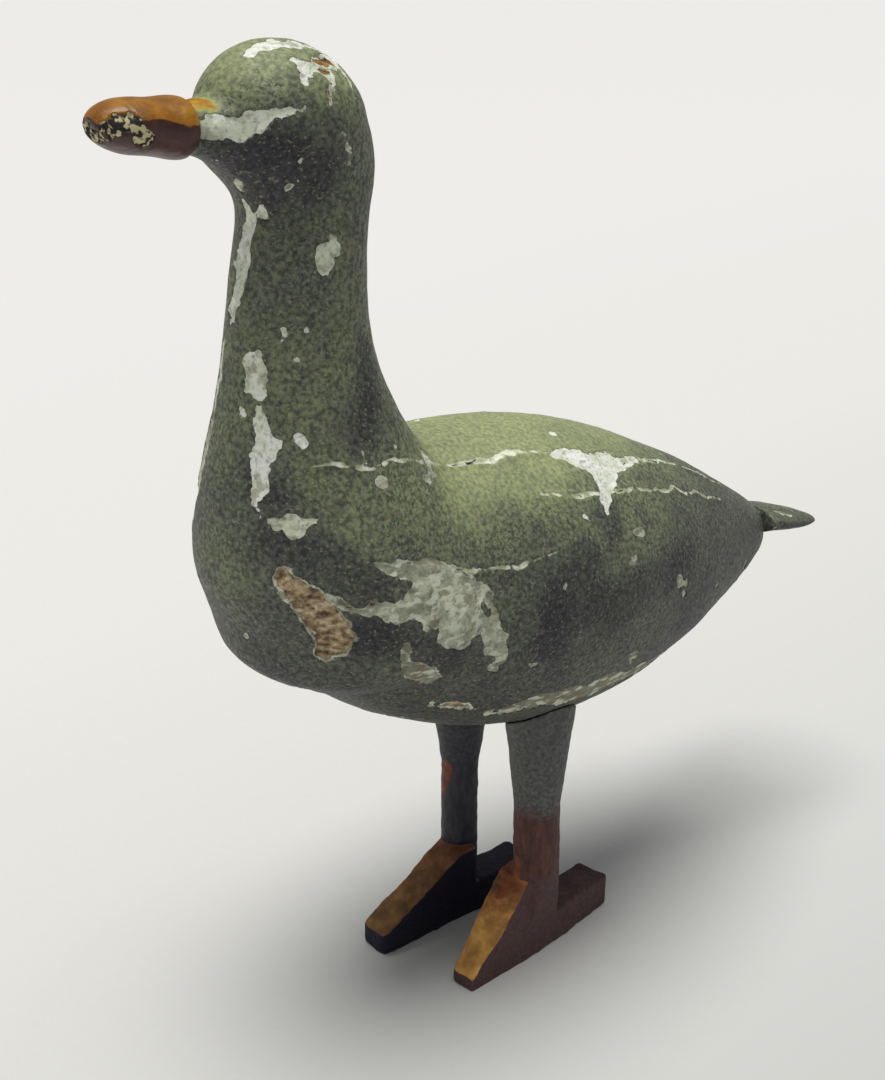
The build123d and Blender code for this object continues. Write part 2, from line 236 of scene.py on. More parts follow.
# %% Where paint has flaked off the gesso
FLAKES = [
    # crown
    (1.0, (1.3, 21.7, 58.8, 0.25), (1.0, 20.4, 59.4, 0.5), (1.0, 19.0, 59.6, 0.6)),
    (1.0, (1.0, 19.0, 59.6, 0.5), (1.0, 17.6, 59.4, 0.5), (1.6, 16.6, 58.8, 0.35)),
    (0.9, (2.4, 19.5, 58.9, 0.3), (3.0, 19.2, 58.3, 0.36), (3.3, 19.6, 57.9, 0.2)),
    (0.9, (1.4, 16.9, 59.0, 0.4), (2.2, 16.4, 58.3, 0.3), (3.4, 16.4, 57.0, 0.12)),
    (0.7, (2.5, 18.5, 58.6, 0.5), (3.2, 18.0, 57.8, 0.3)),
    # cheek
    (0.7, (1.7, 24.7, 56.2, 0.7), (2.0, 23.5, 56.1, 0.75), (2.6, 22.4, 56.1, 0.65)),
    (0.75, (2.6, 22.4, 56.1, 0.6), (3.2, 21.6, 56.3, 0.42), (3.6, 20.2, 57.0, 0.12)),
    (0.3, (2.7, 21.5, 57.7, 0.1), (2.9, 21.0, 57.9, 0.12), (3.2, 20.7, 57.7, 0.08)),
    # nape and throat
    (0.4, (4.0, 18.3, 55.4, 0.2), (3.9, 17.8, 54.8, 0.35), (3.7, 17.5, 54.1, 0.28)),
    (0.4, (4.0, 19.8, 55.9, 0.12), (4.1, 19.0, 55.4, 0.15)),
    (0.5, (1.0, 23.1, 54.0, 0.2), (0.9, 22.4, 53.4, 0.25), (0.7, 21.7, 52.6, 0.2)),
    (0.45, (2.3, 20.7, 52.6, 0.2), (2.9, 20.4, 53.1, 0.22)),
    (0.6, (3.3, 18.2, 49.9, 0.35), (3.3, 18.7, 49.4, 0.5), (3.3, 18.9, 48.8, 0.45)),
    (0.6, (3.2, 20.0, 45.7, 0.15), (3.1, 20.2, 45.2, 0.16)),
    (0.6, (3.1, 20.3, 44.9, 0.2), (3.1, 20.5, 44.4, 0.12)),
    # front of the neck
    (0.9, (0.2, 21.2, 52.2, 0.25), (0.2, 21.3, 50.7, 0.4), (0.1, 21.6, 48.7, 0.5)),
    (0.9, (0.1, 21.6, 48.7, 0.45), (-0.2, 21.9, 47.1, 0.42), (-0.5, 22.0, 45.8, 0.2)),
    (0.9, (-1.4, 21.8, 44.6, 0.35), (-1.7, 22.1, 42.9, 0.45), (-2.1, 22.4, 41.0, 0.4)),
    (0.6, (-2.1, 22.5, 40.4, 0.45), (-2.4, 22.9, 38.9, 0.6), (-2.7, 23.0, 37.2, 0.45)),
    (0.5, (-2.7, 23.1, 36.6, 0.3), (-2.8, 23.2, 35.8, 0.2)),
    # long loss down the near side of the breast
    (0.8, (1.4, 22.0, 44.1, 0.62), (1.6, 22.1, 43.1, 0.68), (1.7, 22.2, 42.5, 0.45)),
    (0.95, (1.9, 22.3, 41.7, 0.2), (2.2, 22.3, 41.0, 0.45), (2.5, 22.3, 40.1, 0.72)),
    (0.95, (2.5, 22.3, 40.1, 0.7), (2.6, 22.6, 39.1, 0.7), (2.7, 22.8, 38.1, 0.5)),
    (0.95, (2.7, 22.8, 38.1, 0.45), (2.6, 23.1, 37.0, 0.28), (3.0, 23.1, 36.4, 0.12)),
    (0.6, (3.6, 22.7, 36.3, 0.4), (4.2, 22.2, 36.1, 0.55), (4.7, 21.8, 36.1, 0.4)),
    (0.7, (4.7, 21.8, 36.2, 0.3), (5.2, 21.0, 36.4, 0.15)),
    # three-cornered flake on the back
    (0.95, (4.5, 3.2, 35.7, 0.35), (5.0, 1.2, 35.0, 0.85), (5.4, -0.4, 34.4, 1.2)),
    (0.85, (5.2, -0.6, 34.6, 1.1), (4.8, -2.6, 34.0, 0.7), (4.4, -4.4, 33.4, 0.3)),
    (0.9, (5.8, 0.0, 34.1, 1.15), (6.5, 0.5, 33.4, 0.85), (7.4, 1.5, 32.6, 0.35)),
    # flank
    (0.42, (6.9, 18.9, 33.8, 0.3), (7.4, 17.5, 33.3, 0.6), (7.8, 15.7, 32.5, 0.9)),
    (0.46, (7.8, 15.7, 32.4, 0.9), (8.1, 14.2, 31.4, 1.1), (8.4, 12.6, 30.0, 1.1)),
    (0.46, (8.0, 16.6, 31.5, 1.0), (8.4, 14.9, 30.4, 1.2), (8.5, 13.0, 29.3, 1.0)),
    (0.50, (8.4, 12.2, 29.0, 0.8), (8.3, 11.3, 27.6, 0.75), (8.1, 11.0, 26.4, 0.6)),
    (0.4, (6.5, 20.5, 32.0, 0.25), (7.0, 19.6, 31.6, 0.5), (7.8, 17.9, 31.1, 0.6)),
    (0.2, (7.9, 17.6, 29.0, 0.3), (7.7, 16.9, 27.4, 0.6), (6.9, 14.8, 25.7, 0.75)),
    (0.45, (8.4, 15.4, 28.9, 0.45), (8.4, 13.6, 28.3, 0.6)),
    (0.3, (8.8, 1.3, 29.4, 0.25), (8.8, 0.2, 29.3, 0.35), (8.7, -0.8, 29.1, 0.15)),
    (0.35, (8.3, -5.0, 26.1, 0.4), (8.1, -5.7, 25.3, 0.25)),
    (0.4, (8.3, 8.8, 25.1, 0.2), (8.5, 8.1, 25.0, 0.25)),
    # breast
    (0.35, (4.2, 22.8, 33.4, 0.5), (4.9, 22.3, 32.4, 0.8), (5.7, 21.5, 31.3, 0.95)),
    (0.35, (5.7, 21.5, 31.3, 0.95), (6.1, 20.7, 29.9, 0.9), (5.7, 21.0, 28.8, 0.6)),
    (0.25, (6.3, 20.7, 32.0, 0.3), (7.0, 19.6, 31.8, 0.35), (7.6, 18.5, 31.5, 0.2)),
    # belly
    (0.6, (5.5, 13.1, 22.8, 0.4), (5.8, 11.8, 22.5, 0.5), (6.0, 10.6, 22.1, 0.35)),
    (0.15, (5.7, 9.4, 21.2, 0.5), (6.9, 6.7, 21.6, 0.9), (7.2, 2.5, 21.0, 0.95)),
    (0.15, (7.2, 2.5, 21.0, 0.95), (6.8, -2.6, 20.4, 0.8), (5.8, -6.5, 20.3, 0.4)),
    (0.2, (7.9, 3.5, 23.2, 0.4), (7.6, -1.0, 22.4, 0.6), (6.7, -5.0, 22.2, 0.3)),
]
print(len(FLAKES), "bands of lost paint")

# %% [markdown]
# The far side never comes into the main view, so its flakes are made up in the same style: one
# long loss down the breast, a patch on the flank, a few chips on the back and the wing edge.

# %% Flakes on the far side, the back and the underside
FAR_FLAKES = [
    (0.6, (-2.6, 22.9, 36.9, 0.6), (-3.6, 22.6, 35.2, 0.8), (-4.9, 21.8, 34.3, 0.4)),
    (0.5, (-4.1, 17.9, 49.6, 0.5), (-4.0, 18.6, 47.9, 0.4)),
    (0.7, (-3.4, 22.4, 56.5, 0.6), (-3.9, 21.2, 56.2, 0.6), (-4.1, 19.9, 56.5, 0.3)),
    (0.4, (-8.0, 14.5, 32.0, 0.8), (-8.6, 11.2, 29.4, 1.4), (-8.7, 8.4, 27.3, 1.0)),
    (0.3, (-8.7, 3.2, 30.6, 0.7), (-8.9, 0.8, 29.6, 0.6), (-8.4, -2.1, 28.9, 0.3)),
    (0.7, (-4.6, -2.6, 34.2, 0.6), (-5.4, -4.9, 32.9, 0.5)),
    (0.4, (-6.8, -9.6, 26.4, 0.6), (-5.9, -12.2, 25.6, 0.4)),
    (0.3, (-5.9, 10.2, 21.2, 0.8), (-5.2, 4.2, 19.5, 0.9)),
    (0.3, (0.6, -9.6, 20.5, 0.8), (-0.8, -12.9, 21.3, 0.5)),
    (0.6, (0.9, -8.6, 34.6, 0.5), (1.2, -10.4, 33.6, 0.3)),
    (0.5, (-3.7, 16.9, 42.0, 0.4), (-4.4, 17.5, 40.2, 0.5)),
]
print(len(FAR_FLAKES), "more bands out of sight")

# %% [markdown]
# Where the gesso has gone too, the softwood shows. Cracks are thin bands that follow the grain
# along the body: the wood shrank, and the coats over it split and lifted a little. The bare wood
# has short dark splits of its own. Amber from the bill has run on to the face, and some islands
# of paint still stand inside the big loss on the flank. The darker bands hold old dirt on the
# flank and breast, and painted shade in the crease behind the neck and under the jaw.

# %% Where bare wood shows, and the cracks
BARE_WOOD = [
    ((2.3, 18.3, 58.9, 0.22), (1.9, 17.0, 58.8, 0.22)),
    ((2.8, 18.2, 58.5, 0.14), (3.1, 18.6, 58.2, 0.1)),
    ((3.1, 18.0, 58.0, 0.12), (3.6, 18.2, 57.4, 0.17), (3.8, 18.3, 56.9, 0.1)),
    ((4.2, 22.8, 33.4, 0.45), (4.9, 22.3, 32.4, 0.8), (5.8, 21.3, 31.0, 0.98)),
    ((5.8, 21.3, 31.0, 0.95), (6.0, 20.8, 29.8, 0.9), (5.6, 21.1, 28.8, 0.55)),
    ((6.4, 20.6, 32.0, 0.15), (7.2, 19.2, 31.8, 0.2)),
    ((5.6, 12.8, 22.8, 0.25), (5.9, 11.2, 22.3, 0.28)),
    ((-8.6, 10.6, 28.9, 0.6), (-8.7, 8.8, 27.8, 0.4)),
    ((-3.9, 22.5, 34.9, 0.35), (-4.6, 22.1, 34.5, 0.2)),
    ((0.2, -10.6, 20.8, 0.35), (-0.4, -11.8, 21.0, 0.25)),
]
AMBER_RUN = [(0.0, 24.9, 57.5, 0.9), (0.7, 23.9, 57.2, 0.5), (1.2, 23.5, 57.0, 0.15)]
CRACKS = [
    ((4.4, 20.8, 39.0, 0.05), (5.0, 19.4, 39.0, 0.06), (5.4, 17.8, 38.6, 0.06)),
    ((5.4, 17.8, 38.6, 0.06), (5.2, 15.6, 38.3, 0.07), (4.0, 12.4, 37.2, 0.09)),
    ((4.0, 12.4, 37.2, 0.1), (3.9, 10.4, 36.7, 0.13), (4.2, 8.0, 36.4, 0.2)),
    ((4.2, 8.0, 36.4, 0.2), (4.1, 5.4, 36.3, 0.12), (4.5, 3.3, 35.7, 0.14)),
    ((4.7, -2.8, 33.9, 0.16), (3.4, -8.2, 32.4, 0.12), (2.6, -13.5, 29.9, 0.1)),
    ((2.6, -13.5, 29.9, 0.1), (1.9, -17.5, 27.9, 0.03)),
    ((6.5, 6.6, 34.4, 0.05), (6.7, 4.3, 33.9, 0.12), (6.8, 1.4, 33.4, 0.1)),
    ((6.6, -0.2, 33.3, 0.12), (6.2, -4.0, 32.1, 0.08), (5.1, -9.5, 30.4, 0.09)),
    ((5.1, -9.5, 30.4, 0.08), (4.0, -14.1, 28.4, 0.03)),
    ((7.3, 17.6, 33.2, 0.05), (7.7, 12.7, 31.8, 0.09), (8.0, 10.7, 31.5, 0.09)),
    ((8.0, 10.7, 31.5, 0.08), (8.2, 8.6, 31.4, 0.08), (8.3, 6.6, 31.5, 0.03)),
    ((-4.9, 20.4, 38.6, 0.05), (-5.3, 14.6, 37.9, 0.09), (-4.9, 8.2, 36.6, 0.05)),
    ((-7.4, 4.4, 33.2, 0.05), (-7.0, -3.0, 32.0, 0.1), (-5.2, -10.4, 30.2, 0.04)),
    ((-1.0, -4.0, 36.0, 0.03), (-1.6, -9.8, 34.0, 0.07), (-1.4, -14.6, 31.3, 0.03)),
]
WOOD_SPLITS = [
    ((2.0, 25.0, 56.2, 0.04), (2.2, 23.0, 56.0, 0.07), (3.2, 21.6, 56.3, 0.03)),
    ((4.4, 22.8, 31.9, 0.03), (5.6, 21.6, 31.4, 0.06), (6.3, 20.7, 31.4, 0.03)),
    ((5.2, 21.6, 30.0, 0.03), (6.0, 20.8, 30.1, 0.06), (6.6, 20.0, 30.3, 0.02)),
    ((2.4, 18.8, 58.8, 0.03), (1.9, 16.9, 58.8, 0.05)),
]
PAINT_ISLANDS = [
    ((8.3, 12.3, 29.9, 0.35), (8.3, 12.1, 29.6, 0.3)),
    ((7.4, 18.6, 30.1, 0.45), (8.0, 17.4, 30.1, 0.5)),
    ((6.8, 20.0, 30.7, 0.3), (6.8, 19.7, 29.4, 0.5), (6.9, 19.3, 27.9, 0.5)),
    ((8.2, 15.8, 28.0, 0.45), (8.1, 14.2, 27.2, 0.55), (8.3, 13.4, 27.6, 0.4)),
]
# Darker bands: old dirt on the flank and breast, and painted shade in the crease behind the neck and under
# the jaw.
STAINS_AND_PAINTED_SHADE = [
    ((7.8, 1.6, 32.1, 0.8), (8.1, 1.5, 31.5, 0.6)),
    ((8.7, 4.1, 30.5, 0.9), (9.0, 6.8, 28.9, 1.2), (8.9, 7.1, 26.4, 1.2)),
    ((9.0, 6.8, 28.9, 1.2), (9.0, 2.0, 27.0, 1.4), (8.4, -6.0, 27.5, 1.0)),
    ((2.1, 23.0, 38.5, 0.3), (3.4, 22.5, 37.4, 0.4)),
    ((3.3, 16.3, 44.2, 0.5), (4.1, 16.7, 41.7, 0.7), (4.9, 18.0, 40.0, 0.6)),
    ((2.0, 22.4, 54.2, 0.9), (3.0, 21.6, 54.4, 1.0), (3.6, 20.9, 54.6, 0.8)),
    ((1.8, 21.4, 52.6, 1.0), (3.0, 20.4, 53.4, 0.9), (3.6, 19.2, 53.6, 0.7)),
    ((3.5, 23.0, 35.3, 0.6), (4.8, 22.1, 34.9, 0.8), (6.1, 20.5, 34.0, 0.8)),
    ((6.1, 20.5, 34.0, 0.8), (7.0, 19.2, 32.8, 0.5)),
    ((7.1, 19.4, 29.9, 1.0), (7.9, 17.6, 29.4, 0.8), (8.1, 14.6, 27.4, 0.9)),
    ((-8.8, 5.0, 28.0, 1.2), (-8.8, 0.0, 26.4, 1.2), (-8.2, -5.0, 27.0, 0.8)),
    ((-5.0, 21.4, 35.0, 0.8), (-6.6, 19.6, 33.4, 0.7)),
]
print(len(BARE_WOOD), "bare patches,", len(CRACKS), "cracks,", len(STAINS_AND_PAINTED_SHADE), "stains_and_painted_shade")

# %% [markdown]
# Now the wear is worked out for every point of the skin. The bands are read through a slightly
# scrambled copy of the points, which makes their edges ragged, as real flakes break. The values
# are stored on the mesh as named attributes, and the paint material reads them back.

# %% Work out the wear of each point
FAR_OUTSIDE = -9.0
CRACK_SPREAD = 0.04
WOOD_MARGIN = 0.15
PLAIN_GESSO = 0.5


def store(piece, name, values):
    """Keeps one number for each point of a piece, for the materials to read."""
    layer = piece.data.attributes.new(name, "FLOAT", "POINT")
    layer.data.foreach_set("value", np.asarray(values, np.float32))


def scrambled(points, size, amount, seed):
    """The points, each moved a little way at random."""
    moves = [lumps(points, size, seed + axis * 10, 3) for axis in range(3)]
    return points + amount * np.stack(moves, axis=1)


def deepest(points, bands):
    """How far each point lies inside whichever band it is deepest in."""
    depth = np.full(len(points), FAR_OUTSIDE)
    for band in bands:
        depth = np.maximum(depth, inside_band(points, band))
    return depth


def wear_of(points, normals):
    """Everything the materials need to know about each point, as a dictionary."""
    ragged = scrambled(scrambled(points, 1.3, 0.34, 11), 0.5, 0.12, 111)
    lost_paint = np.full(len(points), FAR_OUTSIDE)
    clean = np.full(len(points), PLAIN_GESSO)
    for cleanness, *band in FLAKES + FAR_FLAKES:
        inside = inside_band(ragged, band)
        clean = np.where(inside > lost_paint, cleanness, clean)
        lost_paint = np.maximum(lost_paint, inside)
    lost_gesso = deepest(ragged, BARE_WOOD)
    lost_paint = np.maximum(lost_paint, lost_gesso + WOOD_MARGIN)
    lost_paint = np.minimum(lost_paint, -deepest(ragged, PAINT_ISLANDS))
    chips = 1.2 * (lumps(points, 1.5, 91, 3) - 1.02)
    lost_paint = np.maximum(lost_paint, chips)
    wander = scrambled(scrambled(points, 1.6, 0.20, 57), 0.45, 0.10, 157)
    stain_and_shade = deepest(ragged, STAINS_AND_PAINTED_SHADE)
    up = normals[:, 2]
    height = points[:, 2]
    # Painted light and painted shade: the tone rises on upward faces, on the top of the back and on the
    # crown, and falls on downward faces and on the lower rear of the trunk.
    shoulder = soft_step(height, 31, 37) * (1 - soft_step(height, 38, 42)) * soft_step(up, 0.2, 0.8)
    painted_light_and_tone = 0.39 + 0.22 * soft_step(up, 0.1, 0.9) - 0.22 * soft_step(-up, -0.2, 0.7)
    painted_light_and_tone += 0.36 * shoulder + 0.22 * soft_step(height, 55.5, 58)
    painted_light_and_tone -= 0.20 * soft_step(points[:, 1], -2, 10) * soft_step(-height, -35, -28)
    breast = soft_step(height, 36, 39) * (1 - soft_step(height, 43, 48))
    painted_light_and_tone += 0.08 * breast * soft_step(-points[:, 1], 16, 20)
    painted_light_and_tone += 0.10 * lumps(points, 5.0, 33, 3)
    # The darker bands lower the tone: old dirt, and painted shade behind the neck and under the jaw.
    painted_light_and_tone -= 0.26 * soft_step(stain_and_shade, -1.1, 0.4)
    return {
        "lost_paint": lost_paint,
        "lost_gesso": lost_gesso,
        "clean": clean + 0.12 * lumps(points, 1.8, 71, 2),
        "crack": deepest(wander, CRACKS) + CRACK_SPREAD,
        "split": deepest(wander, WOOD_SPLITS),
        "amber_run": inside_band(ragged, AMBER_RUN),
        "painted_light_and_tone": np.clip(painted_light_and_tone, 0, 1),
    }


points, normals = spots(skin)
wear = wear_of(points, normals)
for name, values in wear.items():
    store(skin, name, values)
bare_share = 100 * float((wear["lost_paint"] > 0).mean())
print("paint is missing from", round(bare_share, 1), "% of the skin")

# %% [markdown]
# The same numbers carve the skin. Paint is thin and gesso is thicker, so a flake steps down once
# to the gesso and again to the wood, and the rim of lifted paint stands slightly proud. Broad,
# shallow facets underneath are the marks of the carver's knife.

# %% Carve the wear into the skin
PAINT_COAT = 0.07
GESSO_COAT = 0.16
CRACK_DEPTH = 0.08
CRACK_LIP = 0.07
FACET_DEPTH = 0.09


def carve_wear(piece, points, normals, wear):
    """Moves each point in or out along its normal by what it has lost."""
    paint, gesso, crack = wear["lost_paint"], wear["lost_gesso"], wear["crack"]
    rim = soft_step(paint, -0.40, -0.05) * (1 - soft_step(paint, -0.05, 0.10))
    lift = 0.03 * rim + FACET_DEPTH * lumps(points, 4.5, 21, 1) + 0.02 * lumps(points, 0.9, 25, 2)
    lift -= PAINT_COAT * soft_step(paint, -0.06, 0.12)
    lift += 0.02 * lumps(points, 0.45, 27, 1) * soft_step(paint, 0.0, 0.3)
    lift -= GESSO_COAT * soft_step(gesso, -0.08, 0.14)
    lift += CRACK_LIP * soft_step(crack, -0.35, -0.10) - CRACK_DEPTH * soft_step(crack, -0.06, 0.10)
    lift -= CRACK_DEPTH * soft_step(wear["split"], -0.12, 0.06)
    moved = points + normals * lift[:, None]
    piece.data.vertices.foreach_set("co", moved.ravel())
    piece.data.update()


carve_wear(skin, points, normals, wear)
carved_points, carved_normals = spots(skin)
facing = skin.data.attributes.new("facing", "FLOAT_VECTOR", "POINT")
facing.data.foreach_set("vector", carved_normals.astype(np.float32).ravel())

# %% [markdown]
# The skin is one mesh so far, yet the goose was glued up from a trunk, a neck and a head. Two
# cutters part it again where the real joints lie: a sloping plane where the neck stands on the
# trunk, and a square notch that the head sits in. A boolean leaves three closed pieces.

# %% Part the skin into trunk, neck and head
NECK_JOINT = Vector((0, -16.5, 36.6))
NECK_JOINT_UP = Vector((0, -0.292, 0.956)).normalized()
BLOCK = 80
head_low, head_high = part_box("head")


def cutter(title, near_corner, far_corner):
    """A closed box between two corners, in millimetres."""
    mesh = bpy.data.meshes.new(title)
    block = bmesh.new()
    bmesh.ops.create_cube(block, size=1)
    size = Vector(far_corner) - Vector(near_corner)
    bmesh.ops.scale(block, vec=size, verts=block.verts)
    middle = (Vector(far_corner) + Vector(near_corner)) / 2
    bmesh.ops.translate(block, vec=middle, verts=block.verts)
    block.to_mesh(mesh)
    block.free()
    piece = bpy.data.objects.new(title, mesh)
    bpy.context.scene.collection.objects.link(piece)
    return piece


skin_tree = KDTree(len(carved_points))
for number, point in enumerate(carved_points):
    skin_tree.insert(point, number)
skin_tree.balance()


def heal_rim(piece):
    """Gives the new points along a cut the wear of the nearest old point."""
    facing = np.empty(len(piece.data.vertices) * 3, np.float32)
    piece.data.attributes["facing"].data.foreach_get("vector", facing)
    facing = facing.reshape(-1, 3)
    fresh = np.flatnonzero(np.linalg.norm(facing, axis=1) < 0.9)
    old = [skin_tree.find(piece.data.vertices[number].co)[1] for number in fresh.tolist()]
    facing[fresh] = carved_normals[old]
    piece.data.attributes["facing"].data.foreach_set("vector", facing.ravel())
    for name, values in wear.items():
        layer = piece.data.attributes[name]
        kept = np.empty(len(piece.data.vertices), np.float32)
        layer.data.foreach_get("value", kept)
        kept[fresh] = values[old]
        layer.data.foreach_set("value", kept)
    print(len(fresh), "points healed along the cut")


def parted(title, whole, block, operation):
    """A new piece: the whole inside the cutting block, or outside it."""
    piece = whole.copy()
    piece.name = title
    piece.data = whole.data.copy()
    bpy.context.scene.collection.objects.link(piece)
    cut = piece.modifiers.new("cut", "BOOLEAN")
    cut.operation = operation
    cut.solver = "MANIFOLD"
    cut.object = block
    settle(piece)
    heal_rim(piece)
    print(title, "has", len(piece.data.polygons), "faces")
    return piece


trunk_block = cutter("trunk_block", (-BLOCK, -BLOCK, -BLOCK), (BLOCK, BLOCK, 0))
trunk_block.rotation_mode = "QUATERNION"
trunk_block.rotation_quaternion = NECK_JOINT_UP.to_track_quat("Z", "Y")
trunk_block.location = NECK_JOINT
notch_back, notch_floor = head_high.y / MM, head_low.z / MM
notch_block = cutter("notch_block", (-BLOCK, -BLOCK, notch_floor), (BLOCK, notch_back, BLOCK))
body = parted("body_painted", skin, trunk_block, "INTERSECT")
upper = parted("upper_skin", skin, trunk_block, "DIFFERENCE")
head = parted("head_painted", upper, notch_block, "INTERSECT")
neck = parted("neck_painted", upper, notch_block, "DIFFERENCE")
for spare in (skin, upper, trunk_block, notch_block):
    bpy.data.objects.remove(spare)
print([layer.name for layer in body.data.attributes if layer.domain == "POINT"])

# %% [markdown]
# The tail is a small wedge with the same coats, so it goes through the same steps.

# %% The tail
FINE_SQUARE = 0.10
TAIL_CHIP = (0.3, (1.6, -24.1, 24.0, 0.5), (1.9, -25.2, 23.6, 0.4))
FLAKES.append(TAIL_CHIP)
FLAKES.append((0.3, (-1.2, -27.4, 22.4, 0.6), (-0.4, -28.6, 22.0, 0.4)))
tail = even_skin("tail_painted", ["tail"], FINE_SQUARE, 3)
tail_points, tail_normals = spots(tail)
tail_wear = wear_of(tail_points, tail_normals)
for name, values in tail_wear.items():
    store(tail, name, values)
carve_wear(tail, tail_points, tail_normals, tail_wear)

# %% [markdown]
# The bill is a separate peg of wood under thick amber wax or lacquer. It is amber on top, dark
# red brown on its sides and underneath, and chipped at the tip, where dark wood and crumbs of
# pale ground show together.

# %% The bill
BILL_TIP_CHIPS = [
    ((1.2, 29.1, 56.3, 0.5), (1.6, 28.3, 56.4, 0.5), (1.9, 27.8, 55.7, 0.4)),
    ((0.4, 29.5, 56.0, 0.4), (-0.6, 29.3, 56.3, 0.3)),
    ((1.9, 27.8, 55.7, 0.4), (2.1, 26.9, 55.6, 0.25)),
    ((-1.6, 28.3, 56.2, 0.4), (-1.8, 27.6, 56.5, 0.3)),
]
BILL_SQUARE = 0.07
bill = even_skin("bill_waxed", ["bill"], BILL_SQUARE, 4)
bill_points, bill_normals = spots(bill)
bill_chip = deepest(scrambled(bill_points, 0.8, 0.25, 201), BILL_TIP_CHIPS)
bill_low, bill_high = bill_points.min(axis=0), bill_points.max(axis=0)
bill_rise = bill_normals[:, 2] + 0.25 * lumps(bill_points, 1.2, 205, 2)
store(bill, "chipped", bill_chip)
store(bill, "topside", soft_step(bill_rise, 0.15, 0.55))
pits = soft_step(lumps(bill_points, 0.7, 209, 2), 0.2, 0.8) * soft_step(bill_chip, -0.3, 0.1)
swell = 0.05 * lumps(bill_points, 1.6, 207, 2)
swell -= 0.10 * soft_step(bill_chip, -0.05, 0.08)
swell -= 0.12 * pits
bill_moved = bill_points + bill_normals * swell[:, None]
bill.data.vertices.foreach_set("co", bill_moved.ravel())
print("bill", [round(float(size), 1) for size in bill_high - bill_low], "mm")

# %% [markdown]
# Each leg was whittled with its foot from one slip of wood: a grey thigh, a darker shank, and a
# foot like a wedge, with a heel spur behind. Long shallow facets run down it. Below the ankle
# the outside of the leg slopes in to the sole, so the shank runs into the foot without a step.

# %% The legs
THIGH_END = 11.6
SHANK_AHEAD = 3.1
LEG_SANDING = 16
ANKLE = 1.2
LEGS = {
    "leg_left": {
        "foot_top": 6.6,
        "foot_outside": 4.7,
        "shank_outside": 5.6,
        "patches": [((3.8, 4.7, 7.4, 0.4), (3.6, 4.9, 6.2, 0.6), (3.4, 5.6, 5.3, 0.5))],
    },
    "leg_right": {
        "foot_top": 5.6,
        "foot_outside": 4.2,
        "shank_outside": 4.9,
        "patches": [((-3.5, 4.4, 11.3, 0.6), (-3.9, 4.3, 9.8, 0.5))],
    },
}


def whittled_leg(title, node, seed):
    """A leg with knife facets, a ragged thigh line and rubbed edges."""
    leg = even_skin(title, [node], FINE_SQUARE, LEG_SANDING)
    leg_points, leg_normals = spots(leg)
    plan = LEGS[node]
    across, height = leg_points[:, 0].copy(), leg_points[:, 2]
    slope = soft_step(height, 0.8, plan["foot_top"] + ANKLE)
    outside = plan["foot_outside"] + (plan["shank_outside"] - plan["foot_outside"]) * slope
    is_foot = height < plan["foot_top"] + ANKLE
    leg_points[:, 0] = np.where(is_foot, np.clip(across, -outside, outside), across)
    slim = leg_points * (1, 1, 0.25)
    cuts = 0.09 * lumps(slim, 1.7, seed, 1) + 0.03 * lumps(leg_points, 0.6, seed + 3, 2)
    ragged = lumps(leg_points, 1.2, seed + 7, 3)
    below = 1 - soft_step(height, plan["foot_top"] - 0.6, plan["foot_top"] + 0.8)
    in_front = soft_step(-leg_points[:, 1], SHANK_AHEAD - 0.6, SHANK_AHEAD + 0.2)
    store(leg, "thigh", height - THIGH_END + 0.5 * ragged)
    store(leg, "ramp", soft_step(leg_normals[:, 2] + 0.2 * ragged, 0.25, 0.6) * below * in_front)
    store(leg, "side", below)
    store(leg, "height", height / THIGH_END)
    store(leg, "patch", deepest(scrambled(leg_points, 1.0, 0.3, seed + 9), plan["patches"]))
    store(leg, "shade", lumps(slim, 2.5, seed + 17, 2))
    moved = leg_points + leg_normals * cuts[:, None]
    moved[:, 2] = np.maximum(moved[:, 2], 0)
    leg.data.vertices.foreach_set("co", moved.ravel())
    return leg


leg_left = whittled_leg("leg_left_whittled", "leg_left", 301)
leg_right = whittled_leg("leg_right_whittled", "leg_right", 401)

# %% [markdown]
# Every piece now shrinks from millimetres to metres. It then rides on the goose's one rigid
# body and stands in for its CAD node.

# %% Put each piece in place of its CAD node


def seat(piece, node):
    """Scales a piece to metres and hands it to the frame."""
    size = len(piece.data.vertices) * 3
    places = np.empty(size)
    piece.data.vertices.foreach_get("co", places)
    piece.data.vertices.foreach_set("co", places * MM)
    piece.data.update()
    facing = piece.data.attributes.get("facing")
    if facing is None:
        piece.data.set_sharp_from_angle(angle=math.radians(70))
    else:
        ways = np.empty(size, np.float32)
        facing.data.foreach_get("vector", ways)
        piece.data.normals_split_custom_set_from_vertices(ways.reshape(-1, 3).tolist())
        piece.data.attributes.remove(facing)
    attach(piece, "root")
    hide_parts(node)


seat(body, "body")
seat(neck, "neck")
seat(head, "head")
seat(tail, "tail")
seat(bill, "bill")
seat(leg_left, "leg_left")
seat(leg_right, "leg_right")

# %% [markdown]
# A finish is a small recipe of nodes. This helper lets a recipe read from top to bottom: it adds
# a node, joins what goes in and hands back what comes out. Sizes in it are in millimetres too.

# %% A way to write finishes


def tint(red, green, blue):
    """A colour given as it looks, from 0 to 255, turned into light."""
    def light(level):
        share = level / 255
        return share / 12.92 if share < 0.04045 else ((share + 0.055) / 1.055) ** 2.4
    return (light(red), light(green), light(blue), 1)


